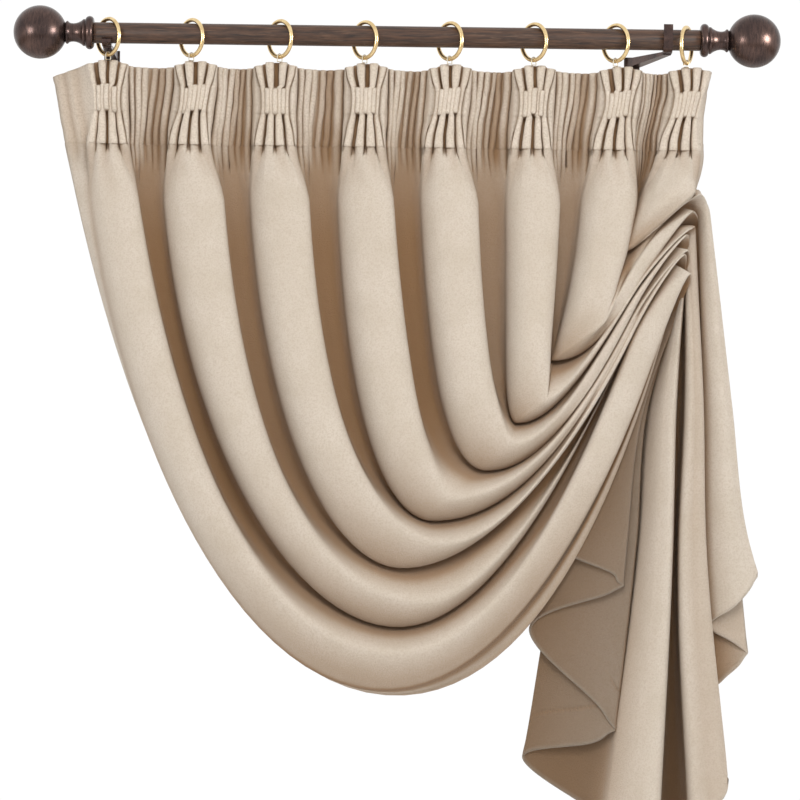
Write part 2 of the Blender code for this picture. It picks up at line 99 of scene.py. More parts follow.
def mixColour(tree, share, first, second):
    mix = tree.nodes.new("ShaderNodeMix")
    mix.data_type = "RGBA"
    tree.links.new(share, mix.inputs["Factor"])
    for socket, colour in (("A", first), ("B", second)):
        target = [item for item in mix.inputs if item.name == socket and item.type == "RGBA"][0]
        if isinstance(colour, tuple):
            target.default_value = (*colour, 1.0)
        else:
            tree.links.new(colour, target)
    return [item for item in mix.outputs if item.type == "RGBA"][0]


def mathNode(tree, operation, *values):
    node = tree.nodes.new("ShaderNodeMath")
    node.operation = operation
    for socket, value in zip(node.inputs, values):
        if isinstance(value, (int, float)):
            socket.default_value = value
        else:
            tree.links.new(value, socket)
    return node.outputs[0]


def rampNode(tree, value, stops):
    ramp = tree.nodes.new("ShaderNodeValToRGB")
    tree.links.new(value, ramp.inputs["Fac"])
    ramp.color_ramp.elements[0].position = stops[0][0]
    ramp.color_ramp.elements[0].color = (stops[0][1],) * 3 + (1,)
    ramp.color_ramp.elements[1].position = stops[1][0]
    ramp.color_ramp.elements[1].color = (stops[1][1],) * 3 + (1,)
    return ramp.outputs["Color"]


def noiseNode(tree, vector, scale, detail=2.0, roughness=0.5):
    texture = tree.nodes.new("ShaderNodeTexNoise")
    texture.inputs["Scale"].default_value = scale
    texture.inputs["Detail"].default_value = detail
    texture.inputs["Roughness"].default_value = roughness
    tree.links.new(vector, texture.inputs["Vector"])
    return texture.outputs["Fac"]


def stretched(tree, vector, scale):
    mapping = tree.nodes.new("ShaderNodeMapping")
    mapping.inputs["Scale"].default_value = scale
    tree.links.new(vector, mapping.inputs["Vector"])
    return mapping.outputs["Vector"]


def addBump(tree, shader, height, look):
    bump = tree.nodes.new("ShaderNodeBump")
    bump.inputs["Strength"].default_value = look["bump"]
    bump.inputs["Distance"].default_value = look["bumpDepth"]
    tree.links.new(height, bump.inputs["Height"])
    tree.links.new(bump.outputs["Normal"], shader.inputs["Normal"])


def addColour(tree, shader, colour, grain, look):  # and a roughness that follows the grain
    tree.links.new(colour, shader.inputs["Base Color"])
    least, added = look["roughness"]
    rough = mathNode(tree, "MULTIPLY_ADD", grain, added, least)
    tree.links.new(rough, shader.inputs["Roughness"])


velvetLook = {
    "lit": (0.715, 0.63, 0.535),
    "warm": (0.67, 0.585, 0.485),
    "fleck": (0.58, 0.48, 0.375),
    "fleckShare": 0.6,
    # painted shade: the valley colour is what the cloth is mixed towards in its valleys, creases
    # and pockets
    "valley": (0.33, 0.195, 0.1),  # at a shade of 1
    "deep": (0.115, 0.066, 0.034),  # at a shade of 2
    "swagShadowDim": (0.6, 0.59, 0.58),  # painted shadow: times the colour of the cloth that hangs behind the swag
    "headingPaintedLight": 1.13,
    "creaseReach": 0.012,
    "finish": {
        "Roughness": 0.95,
        "Specular IOR Level": 0.15,
        "Sheen Weight": 0.25,
        "Sheen Roughness": 0.45,
        "Sheen Tint": (1.0, 0.93, 0.84, 1.0),
    },
    "broadScale": 22.0,
    "pileScale": 480.0,
    "weaveScale": 1500.0,
    "bump": 0.95,
    "bumpDepth": 0.0016,
}

# The hem's stitches, in metres: how far up they run, the middle and half width of the panel on
# which they show most, where their line starts and ends to fade, how fast they follow each other
# and how deep they are drawn in.
stitchLook = {
    "hemWidth": 0.046,
    "panel": (0.43, 0.075),
    "line": (0.0004, 0.0024),
    "turns": 1900.0,
    "depth": 1.6,
}


def hemGroove(tree, uv):  # 1 along the hem's stitches
    split = tree.nodes.new("ShaderNodeSeparateXYZ")
    tree.links.new(uv, split.inputs[0])
    across, up = split.outputs["X"], split.outputs["Y"]
    offset = mathNode(tree, "SUBTRACT", up, stitchLook["hemWidth"])
    offset = mathNode(tree, "ABSOLUTE", offset)
    full, none = stitchLook["line"]
    line = rampNode(tree, offset, ((full, 1.0), (none, 0.0)))
    middle, half = stitchLook["panel"]
    aside = mathNode(tree, "SUBTRACT", across, middle)
    aside = mathNode(tree, "ABSOLUTE", aside)
    onPanel = rampNode(tree, aside, ((half, 1.0), (half + 0.02, 0.12)))
    turns = mathNode(tree, "MULTIPLY", across, stitchLook["turns"])
    wave = mathNode(tree, "SINE", turns)
    dash = mathNode(tree, "MULTIPLY_ADD", wave, 0.25, 0.75)
    stitches = mathNode(tree, "MULTIPLY", line, dash)
    return mathNode(tree, "MULTIPLY", stitches, onPanel)


def velvetMaterial(name, hemStitches, paintedLight=1.0):
    made, tree, shader, spots = newMaterial(name)
    shade = tree.nodes.new("ShaderNodeAttribute")
    shade.attribute_name = "valleyShade"
    broad = noiseNode(tree, spots, velvetLook["broadScale"], 3.0)
    broad = rampNode(tree, broad, ((0.38, 0), (0.66, 1)))
    pile = noiseNode(tree, spots, velvetLook["pileScale"], 2.0, 0.6)
    weave = noiseNode(tree, spots, velvetLook["weaveScale"], 1.0)
    # painted light: the heading's copy of the velvet is made lighter than the drape's
    lit = tuple(channel * paintedLight for channel in velvetLook["lit"])
    warm = tuple(channel * paintedLight for channel in velvetLook["warm"])
    cloth = mixColour(tree, broad, lit, warm)
    fleck = rampNode(tree, pile, ((0.42, 0.0), (0.68, 1.0)))
    fleckShare = mathNode(tree, "MULTIPLY", fleck, velvetLook["fleckShare"])
    cloth = mixColour(tree, fleckShare, cloth, velvetLook["fleck"])
    # painted shade: valleyShade mixes the cloth towards the valley colour, and past a shade of 1
    # towards the deep colour
    cloth = mixColour(tree, shade.outputs["Fac"], cloth, velvetLook["valley"])
    deeper = mathNode(tree, "SUBTRACT", shade.outputs["Fac"], 1.0)
    cloth = mixColour(tree, deeper, cloth, velvetLook["deep"])
    # painted shadow on the tail's left part, which hangs behind the swag
    swagShaded = tree.nodes.new("ShaderNodeAttribute")
    swagShaded.attribute_name = "swagShadow"
    dimmed = tree.nodes.new("ShaderNodeVectorMath")
    dimmed.operation = "MULTIPLY"
    dimmed.inputs[1].default_value = velvetLook["swagShadowDim"]
    tree.links.new(cloth, dimmed.inputs[0])
    cloth = mixColour(tree, swagShaded.outputs["Fac"], cloth, dimmed.outputs[0])
    # painted shade in creases: where ambient occlusion finds a crease, the cloth is mixed towards
    # the valley colour
    crease = tree.nodes.new("ShaderNodeAmbientOcclusion")
    crease.samples = 6
    crease.inputs["Distance"].default_value = velvetLook["creaseReach"]
    tint = rampNode(tree, crease.outputs["AO"], ((0.2, 0.85), (0.82, 0.0)))
    cloth = mixColour(tree, tint, cloth, velvetLook["valley"])
    height = mathNode(tree, "MULTIPLY_ADD", pile, 0.6, weave)
    if hemStitches:
        uvMap = tree.nodes.new("ShaderNodeUVMap")
        uvMap.uv_map = "clothMetres"
        groove = hemGroove(tree, uvMap.outputs["UV"])
        height = mathNode(tree, "MULTIPLY_ADD", groove, -stitchLook["depth"], height)
        # painted shade in the stitches' groove
        stitchShade = mathNode(tree, "MULTIPLY", groove, 0.4)
        cloth = mixColour(tree, stitchShade, cloth, velvetLook["valley"])
    addBump(tree, shader, height, velvetLook)
    tree.links.new(cloth, shader.inputs["Base Color"])
    for socket, value in velvetLook["finish"].items():
        shader.inputs[socket].default_value = value
    return made


bronzeLook = {
    "dark": (0.05, 0.034, 0.032),
    "worn": (0.15, 0.092, 0.075),
    "metallic": 0.85,
    "roughness": (0.16, 0.25),  # the least, and what the grain adds
    "brushScale": 90.0,
    "patchScale": 38.0,
    "bump": 0.25,
    "bumpDepth": 0.0004,
}


def bronzeMaterial(name, streaks):
    made, tree, shader, spots = newMaterial(name)
    brushing = stretched(tree, spots, streaks)
    brushed = noiseNode(tree, brushing, bronzeLook["brushScale"], 4.0, 0.65)
    patches = noiseNode(tree, spots, bronzeLook["patchScale"], 3.0)
    worn = mathNode(tree, "MULTIPLY", brushed, patches)
    share = rampNode(tree, worn, ((0.14, 0.0), (0.48, 1.0)))
    colour = mixColour(tree, share, bronzeLook["dark"], bronzeLook["worn"])
    addColour(tree, shader, colour, brushed, bronzeLook)
    shader.inputs["Metallic"].default_value = bronzeLook["metallic"]
    addBump(tree, shader, brushed, bronzeLook)
    return made


rodLook = {
    "deep": (0.016, 0.007, 0.004),
    "grain": (0.095, 0.042, 0.02),
    "pale": (0.15, 0.085, 0.05),
    "grainStretch": (9.0, 150.0, 150.0),
    "fineStretch": (22.0, 420.0, 420.0),
    "roughness": (0.32, 0.3),  # the least, and what the grain adds
    "bump": 0.4,
    "bumpDepth": 0.0005,
}


def rodMaterial(name):
    made, tree, shader, spots = newMaterial(name)
    alongPole = stretched(tree, spots, rodLook["grainStretch"])
    grain = noiseNode(tree, alongPole, 2.4, 5.0, 0.7)
    share = rampNode(tree, grain, ((0.36, 0.0), (0.66, 1.0)))
    colour = mixColour(tree, share, rodLook["deep"], rodLook["grain"])
    fine = stretched(tree, spots, rodLook["fineStretch"])
    fineGrain = noiseNode(tree, fine, 2.0, 3.0, 0.6)
    paleShare = rampNode(tree, fineGrain, ((0.55, 0.0), (0.72, 0.7)))
    colour = mixColour(tree, paleShare, colour, rodLook["pale"])
    addColour(tree, shader, colour, grain, rodLook)
    addBump(tree, shader, grain, rodLook)
    return made


ringLook = {"colour": (0.86, 0.66, 0.36), "dull": (0.55, 0.38, 0.17), "roughness": (0.22, 0.15)}
eyeLook = {"colour": (0.86, 0.8, 0.66), "dull": (0.62, 0.52, 0.36), "roughness": (0.25, 0.15)}


def brassMaterial(name, look):
    made, tree, shader, spots = newMaterial(name)
    patches = noiseNode(tree, spots, 160.0, 3.0)
    tarnish = rampNode(tree, patches, ((0.4, 0.0), (0.7, 0.6)))
    colour = mixColour(tree, tarnish, look["colour"], look["dull"])
    addColour(tree, shader, colour, tarnish, look)
    shader.inputs["Metallic"].default_value = 1.0
    return made


drapeVelvet = velvetMaterial("drapeVelvet", True)
# painted light: the heading gets a lighter copy of the velvet
headingVelvet = velvetMaterial("headingVelvet", False, velvetLook["headingPaintedLight"])
ballBronze = bronzeMaterial("ballBronze", (6.0, 1.0, 1.0))
bracketBronze = bronzeMaterial("bracketBronze", (1.0, 1.0, 1.0))
stainedRod = rodMaterial("stainedRod")
ringBrass = brassMaterial("ringBrass", ringLook)
eyeWire = brassMaterial("eyeWire", eyeLook)
print("materials made")


def addPiece(name, bm, surface, nodeNames):
    mesh = bpy.data.meshes.new(name)
    bm.to_mesh(mesh)
    bm.free()
    mesh.materials.append(surface)
    for polygon in mesh.polygons:
        polygon.use_smooth = True
    piece = bpy.data.objects.new(name, mesh)
    bpy.context.scene.collection.objects.link(piece)
    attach(piece, "root")
    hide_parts(*nodeNames)
    return piece


# The cloth's columns are numbered from 0 at the leading edge to 94 at the trailing edge: two beside
# each edge, six over the ridge of each of the eight pleats and six over the valley to the next.
foldCount = 8
edgeKnots = 2
ridgeKnots = 6
knotsPerFold = 12
lastKnot = edgeKnots + (foldCount - 1) * knotsPerFold + ridgeKnots + edgeKnots


def columnNumbers(onRidge, inValley):
    numbers = list(np.arange(0, edgeKnots, 0.25))
    valleyKnots = knotsPerFold - ridgeKnots
    for fold in range(foldCount):
        start = edgeKnots + knotsPerFold * fold
        numbers += list(start + ridgeKnots * np.arange(onRidge) / onRidge)
        if fold < foldCount - 1:
            numbers += list(start + ridgeKnots + valleyKnots * np.arange(inValley) / inValley)
    numbers += list(np.linspace(lastKnot - edgeKnots, lastKnot, 5))
    return np.array(numbers)


# the heading
headingSizes = {
    "columns": (84, 42),  # over each pleat, and between two
    "top": 33.0,
    "seam": 132.0,
    "sag": 7.0,  # of the top between two rings
    "corner": 12.0,  # drop of the leading corner
    "sagReach": 30.0,  # below the top
    "setBack": 11.0,
    "thickness": 1.6,
    "slitDepth": 12.0,  # of the gaps between a pleat's fingers
    "slitShade": (0.85, 1.15),  # painted shade in the slits beside the outer fingers, and in the middle
    "fingerRound": 4.6,
    "tuckFront": -12.0,  # of the cloth between two pleats, at the top
    "tuckLean": 0.08,
    "tuckClear": 25.5,  # from a pleat's middle to the nearest tuck's side
}

# Each pleat's middle at the top and at the seam, then the gaps between its four fingers, from left
# to right, above the pinch and below it.
PleatLook = namedtuple("PleatLook", "top seam topGaps fanGaps")
pleatLooks = [
    PleatLook(-352, -350, (6.6, 5.0, 3.6), (1.8, 4.0, 2.0)),
    PleatLook(-245, -252, (3.0, 6.4, 3.2), (3.0, 4.2, 3.6)),
    PleatLook(-149, -149, (4.4, 7.4, 2.4), (3.6, 3.0, 3.4)),
    PleatLook(-40, -42, (4.8, 6.4, 2.0), (5.4, 3.8, 1.8)),
    PleatLook(61, 55, (3.4, 5.0, 2.8), (3.0, 4.6, 3.0)),
    PleatLook(162, 159, (3.8, 5.2, 2.0), (4.8, 4.6, 2.0)),
    PleatLook(266, 258, (6.4, 4.8, 2.2), (3.8, 5.0, 2.0)),
    PleatLook(349, 337, (5.8, 4.0, 2.2), (2.8, 5.0, 2.6)),
]

# half: from a pleat's middle to its outside. crest: front of its fingers. pinch: share of the way
# to seven equal strips. fan: share of the way from the upper gaps to the lower ones. lead and
# trail: x of the cloth's two edges.
HeadLevel = namedtuple("HeadLevel", "drop half crest pinch fan lead trail")
headLevels = [
    HeadLevel(33, 25.0, 10.0, 0.0, 0.0, -418.0, 375),
    HeadLevel(48, 21.5, 11.5, 0.0, 0.0, -416.5, 372),
    HeadLevel(61, 17.8, 11.0, 0.0, 0.0, -415.0, 370),
    HeadLevel(63, 17.3, 12.6, 1.0, 0.06, -414.7, 370),
    HeadLevel(78, 15.8, 12.6, 1.0, 0.5, -412.6, 368),
    HeadLevel(92, 16.2, 12.6, 1.0, 0.94, -410.0, 366),
    HeadLevel(94, 16.5, 11.0, 0.0, 1.0, -409.6, 366),
    HeadLevel(112, 20.5, 13.0, 0.0, 1.0, -406.0, 366),
    HeadLevel(132, 24.5, 13.5, 0.0, 1.0, -402.0, 366),
]

# The leading end's small folds: column, how far in from the edge, front and painted shade.
leadFolds = [
    (0.0, 0, -17.0, 0.34),
    (0.35, 6, -11.0, 0.16),
    (0.7, 13, -14.5, 0.4),
    (1.05, 20, -8.0, 0.12),
    (1.4, 27, -11.0, 0.36),
    (1.7, 34, -5.0, 0.1),
]

# A finger's round, for each seventh of a strip: share of its half width and share of the fall.
fingerRound = [(-0.98, 1.0), (-0.7, 0.3), (0.0, 0.0), (0.7, 0.3), (0.98, 1.0)]

# The soft tucks from one pleat to the next. spot: share of the way at the top. half: half its
# width, as a share of the way. proud: how far forward it stands. shade: how much painted shade it
# gets. slant: how far it drifts, as a share of the way, from the top to the seam.
Tuck = namedtuple("Tuck", "spot half proud shade slant")
tucks = [
    Tuck(0.075, 0.072, 9.0, 0.0, -0.01),
    Tuck(0.225, 0.074, 8.0, 0.0, -0.05),
    Tuck(0.38, 0.068, 5.0, 0.08, -0.09),
    Tuck(0.535, 0.06, 1.0, 0.36, -0.1),
    Tuck(0.7, 0.066, -1.5, 0.68, -0.07),
    Tuck(0.885, 0.08, 3.5, 0.2, -0.02),
]

# A tuck's round, from left to right: column, share of its half width, fall and added painted shade.
tuckRound = [
    (0, -1, 5.2, 0.35),
    (0.19, -0.74, 1.3, 0),
    (0.38, 0, 0, 0),
    (0.57, 0.74, 1.6, 0),
    (0.76, 1, 6.0, 0.4),
]

# The thin tube that shows beside each pinch: column, share of the way to the tucks, how far behind
# the fingers it lies and how much painted shade it gets.
sideTube = [
    (5.79, 0.08, 8.0, 0.4),
    (5.84, 0.3, 4.6, 0.0),
    (5.91, 0.62, 4.9, 0.0),
    (5.98, 0.9, 9.5, 0.35),
]


def headLevelAt(field, drop):
    drops = [level.drop for level in headLevels]
    values = [getattr(level, field) for level in headLevels]
    if field in ("half", "fan", "lead", "trail"):
        return float(through(drops, values, np.array([float(drop)]))[0])
    return float(np.interp(drop, drops, values))


def pleatMiddle(number, drop):
    look = pleatLooks[number]
    return look.top + (look.seam - look.top) * smoothstep(55, 128, drop)


def pleatStrips(number, at, drop):
    # middle, half width, front and shade of a pleat's seven strips: four fingers and three slits
    look = pleatLooks[number]
    sideShade, middleShade = headingSizes["slitShade"]
    widths = []
    for gap in range(3):
        apart = look.topGaps[gap] * (1 - at["fan"]) + look.fanGaps[gap] * at["fan"]
        widths.append(at["pinch"] * 2 * at["half"] / 7 + (1 - at["pinch"]) * apart)
    finger = (2 * at["half"] - sum(widths)) / 4
    edge = pleatMiddle(number, drop) - at["half"]
    strips = []
    for strip in range(7):
        isFinger = strip % 2 == 0
        width = finger if isFinger else widths[strip // 2]
        outward = max(0, abs(strip - 3) - 1) ** 1.4
        front = at["crest"] + 1.4 * wander(number + 3, strip) - 1.1 * outward
        shade = 0.0
        if not isFinger:
            pinched = headLevelAt("pinch", drop + 2.8 * wander(number, strip, 4))
            front += pinched * 0.8 - (1 - pinched) * headingSizes["slitDepth"]
            shade = (middleShade if strip == 3 else sideShade) * (1 - pinched)
        strips.append((edge + width / 2, width / 2, front, shade))
        edge += width
    return strips


def pleatKnots(number, at, strips):  # column, x, front and shade over one pleat
    start = edgeKnots + knotsPerFold * number
    knots = []
    for strip, (middle, half, front, shade) in enumerate(strips):
        column = start + strip * ridgeKnots / 7
        deep = min(half, headingSizes["fingerRound"])
        for step, (across, down) in enumerate(fingerRound):
            knots.append((column + step / 7, middle + across * half, front - deep * down, shade))
        if strip < 6:
            loose = 1 - at["pinch"]
            floor = at["crest"] - 4.4 * at["pinch"] - (headingSizes["slitDepth"] + 1.0) * loose
            # painted shade on the floor between two strips
            knots.append((column + 5 / 7, middle + half, floor, 0.5 + 0.5 * loose))
    return knots


def tuckKnots(number, at, drop, side):  # the same between one pleat and the next
    start = edgeKnots + knotsPerFold * number
    top, seam = headingSizes["top"], headingSizes["seam"]
    left = pleatMiddle(number, drop) + headingSizes["tuckClear"]
    right = pleatMiddle(number + 1, drop) - headingSizes["tuckClear"]
    nextSide = pleatMiddle(number + 1, drop) - at["half"]
    down = (drop - top) / (seam - top)
    knots = []
    for column, share, lower, shade in sideTube:
        x = side * (1 - share) + left * share
        knots.append((start + column, x, at["crest"] - lower, shade))
    for index, tuck in enumerate(tucks):
        spot = tuck.spot + tuck.slant * down + 0.022 * wander(number, index, 5)
        spot += 0.014 * math.sin(0.06 * drop + 9 * wander(number, index, 7))
        middle = left + (right - left) * spot
        half = (right - left) * tuck.half * (1 + 0.22 * wander(index, number, 2))
        column = start + ridgeKnots + 0.14 + index * 0.92
        front = headingSizes["tuckFront"] - headingSizes["tuckLean"] * (drop - top)
        front = front + tuck.proud + 1.3 * wander(number, index)
        shade = tuck.shade * (0.85 + 0.3 * abs(wander(number, index, 9)))
        seamShade = 0.42 * float(smoothstep(88, seam, drop))  # painted shade that grows towards the seam
        shade += seamShade * (1 - tuck.shade) * (0.3 + tuck.spot)
        for step, across, fall, edgeShade in tuckRound:
            knots.append((column + step, middle + across * half, front - fall, shade + edgeShade))
    for column, share, lower, shade in reversed(sideTube):
        x = nextSide * (1 - share) + right * share
        knots.append((start + knotsPerFold - 1.5 * (column - 5.7), x, at["crest"] - lower, shade))
    return knots


def headSection(drop, columns):  # x, drop, front and shade of one row
    at = {field: headLevelAt(field, drop) for field in HeadLevel._fields}
    knots = [(column, at["lead"] + inward, *rest) for column, inward, *rest in leadFolds]
    for number in range(foldCount):
        strips = pleatStrips(number, at, drop)
        knots += pleatKnots(number, at, strips)
        if number < foldCount - 1:
            knots += tuckKnots(number, at, drop, strips[-1][0] + strips[-1][1])
    knots.append((lastKnot - 1.0, at["trail"] - 3, 1.0, 0.1))
    knots.append((lastKnot, at["trail"], -6.0, 0.3))
    knots = np.array(knots)
    found = through(knots[:, 0], knots[:, 1:], columns)
    row = np.empty((len(columns), 4))
    row[:, 0] = found[:, 0]
    row[:, 1] = drop
    row[:, 2] = found[:, 1] - headingSizes["setBack"]
    row[:, 3] = np.clip(found[:, 2], 0, 2)
    return row


def headSag(columns):
    fromRing = columns - (edgeKnots + ridgeKnots / 2)
    apart = np.abs(np.sin(math.pi * fromRing / knotsPerFold))
    sag = headingSizes["sag"] * smoothstep(0.2, 1.0, apart)
    return sag + headingSizes["corner"] * np.clip(1 - columns / edgeKnots, 0, 1)


# The cloth turned in at the top and its lip at the seam: how far down and back each row lies.
topTurn = [(13, -3.4), (6, -3.5), (1.6, -3.2), (0.25, -2.3), (-0.1, -1.1)]
seamLip = [(0.5, -0.5), (0.3, -1.5), (-1.5, -1.9)]


def headingRows(columns):
    top, reach = headingSizes["top"], headingSizes["sagReach"]
    drops = np.concatenate([
        np.linspace(top, 57, 8),
        np.linspace(58.4, 66.2, 7),  # the pinch's upper edge
        np.linspace(69, 88, 6),
        np.linspace(89.4, 97.2, 7),  # its lower edge
        np.linspace(100, headingSizes["seam"] - 0.6, 11),
    ])
    sag = headSag(columns)
    rows = []
    for drop in drops:
        row = headSection(drop, columns)
        row[:, 1] += sag * max(0.0, 1 - (drop - top) / reach)
        for column in range(len(columns)):
            spot = Vector((row[column, 0] * 0.07, drop * 0.055, 3.0))
            row[column, 2] += 0.9 * noise.noise(spot)
            sway = noise.noise(spot + Vector((9.0, 4.0, 0.0)))
            row[column, 0] += 0.8 * sway * smoothstep(top, 45, drop)
        rows.append(row)
    folded = []
    for down, back in topTurn:
        turned = headSection(top + down, columns)
        turned[:, 1] = top + down + sag * max(0.0, 1 - down / reach)
        turned[:, 2] += back
        folded.append(turned)
    lip = []
    for down, back in seamLip:
        turned = rows[-1].copy()
        turned[:, 1] += down
        turned[:, 2] += back
        lip.append(turned)
    return folded + rows + lip


# the swag and the tail
drapeSizes = {
    "columns": (25, 24),  # over each ridge, and over each valley
    "swagRows": 72,
    "turnRows": 8,
    "tailRows": 40,
    "turnReach": 8.0,  # how far the cloth stands over the tie
    "turnShade": 0.75,
    "valleyTimes": 1.55,  # depth of the valleys on the way down
    "leadBack": (24.0, 14.0),  # of the leading edge, on the way down and in the belly
    "thickness": 2.0,
    "hemThickness": 3.0,
}

# The leading edge, the outer and inner edge of each fold, and the trailing edge. Each falls from
# its neck at the heading's seam, rounds its belly and rises to the tie.
# lean and fall, sweep, rise, pullX and pullDrop are the handles of its two curves, and swell is how
# far forward it stands.
FoldEdge = namedtuple(
    "FoldEdge",
    "neck lean fall bellyX bellyDrop sweep rise tieX tieDrop pullX pullDrop swell",
)
foldEdges = [
    FoldEdge(-402, 62, 300, 5, 791, 210, 188, 333, 304, 49, 188, 4),
    FoldEdge(-378, 26, 300, -10, 784, 192, 180, 335, 292, 40, 164, 14),
    FoldEdge(-322, 38, 300, 0, 738, 170, 176, 322, 265, 63, 122, 20),
    FoldEdge(-284, 6, 300, 5, 707, 140, 140, 321, 263, 66, 146, 20),
    FoldEdge(-214, 14, 300, 35, 676, 146, 102, 322, 261, 58, 150, 20),
    FoldEdge(-179, 6, 290, 10, 636, 95, 134, 322, 258, 48, 138, 27),
    FoldEdge(-110, 8, 300, 60, 605, 92, 96, 323, 255, 58, 140, 29),
    FoldEdge(-73, 8, 310, 46, 579, 58, 132, 323, 251, 62, 138, 29),
    FoldEdge(-10, 16, 290, 68, 551, 18, 110, 323, 248, 70, 146, 30),
    FoldEdge(26, 12, 270, 110, 518, 46, 86, 324, 242, 66, 132, 30),
    FoldEdge(94, 4, 250, 141, 485, 14, 50, 325, 238, 88, 146, 30),
    FoldEdge(130, 8, 220, 146, 461, 20, 55, 328, 231, 78, 124, 30),
    FoldEdge(196, -5, 210, 180, 433, 4, 20, 329, 228, 78, 122, 28),
    FoldEdge(224, 2, 150, 186, 386, 1, 56, 331, 225, 61, 100, 26),
    FoldEdge(291, 0, 120, 249, 340, 8, 2, 337, 204, 60, 58, 22),
    FoldEdge(304, -10, 60, 271, 254, 2, 14, 339, 197, 28, 26, 18),
    FoldEdge(362, 0, 20, 354, 184, 3, 2, 355, 186, 2, 1, 10),
    FoldEdge(366, 2, 20, 358, 178, 2, 1, 359, 180, 1, 1, 2),
]

# One fold's section, from its ridge's outer edge (across 0) over its inner edge (across 1) to the
# next fold's outer edge (across 2): how far across and forward each line lies and how much painted
# shade it gets, as the fold falls, in its belly and as it rises.
Crimp = namedtuple(
    "Crimp",
    "fallAcross fallFront fallShade "
    "bellyAcross bellyFront bellyShade "
    "riseAcross riseFront riseShade",
)
crimps = [
    Crimp(0.0, -0.3, 0.4, 0.0, -0.35, 0.75, 0.0, -0.45, 0.95),
    Crimp(0.1, 0.15, 0.12, 0.1, 0.0, 0.66, 0.05, 0.6, 0.2),
    Crimp(0.28, 0.72, 0.0, 0.32, 0.38, 0.56, 0.28, 0.95, 0.02),
    Crimp(0.52, 1.0, 0.02, 0.6, 0.74, 0.36, 0.58, 1.0, 0.0),
    Crimp(0.8, 0.99, 0.0, 0.88, 1.0, 0.14, 0.86, 0.92, 0.0),
    Crimp(0.97, 0.66, 0.04, 1.06, 1.0, 0.06, 0.985, 0.55, 0.08),
    Crimp(1.0, 0.05, 0.6, 1.25, 0.78, 0.16, 1.02, -0.3, 1.05),
    Crimp(0.95, -0.55, 1.0, 1.45, 0.42, 0.4, 1.12, -0.75, 1.3),
    Crimp(1.02, -0.92, 1.0, 1.66, 0.0, 0.9, 1.38, -1.0, 1.2),
    Crimp(1.34, -1.0, 1.0, 1.8, -0.5, 0.92, 1.66, -1.0, 1.15),
    Crimp(1.68, -1.0, 1.0, 1.97, -1.1, 0.82, 1.93, -0.9, 1.15),
    Crimp(1.92, -0.74, 0.85, 2.05, -1.1, 0.8, 2.02, -0.6, 1.1),
]

# Front of the whole cloth and half depth of its folds, from neck to tie.
Level = namedtuple("Level", "along swell depth")
swagLevels = [
    Level(0.0, 0.0, 13),
    Level(0.06, 0.1, 17),
    Level(0.12, 0.25, 20),
    Level(0.3, 0.7, 24),
    Level(0.42, 0.92, 22),
    Level(0.5, 1.0, 20),
    Level(0.75, 0.8, 13),
    Level(0.92, 0.45, 10),
    Level(1.0, 0.3, 9),
]

# The folds as they come together at the tie: how high each ridge stands, how deep the valley beside
# it is and how much painted shade it gets, how far that valley is filled so that the fold joins the
# next one, how far the whole fold sinks in, the tip of the pinched ear that its ridge ends in, and
# how much less painted shade its valley gets on the way down.
Gather = namedtuple("Gather", "ridge valley tint joined sink earX earDrop paler")
gathers = [
    Gather(1.5, 1.9, 1.75, 0.0, 0, 350, 281, 0.0),
    Gather(0.4, 1.1, 1.0, 0.0, 12, 332, 271, 0.06),
    Gather(1.3, 0.5, 0.25, 1.0, 0, 343, 258, 0.02),
    Gather(1.2, 0.6, 0.15, 0.85, 1, 347, 253, 0.0),
    Gather(1.5, 0.8, 0.55, 0.25, 0, 345, 235, 0.22),
    Gather(1.3, 0.8, 0.15, 1.0, 0, 350, 227, 0.28),
    Gather(1.2, 0.6, 0.3, 0.6, 0, 350, 207, 0.1),
    Gather(1.0, 1.0, 0.8, 0.0, 0, 358, 186, 0.0),
]

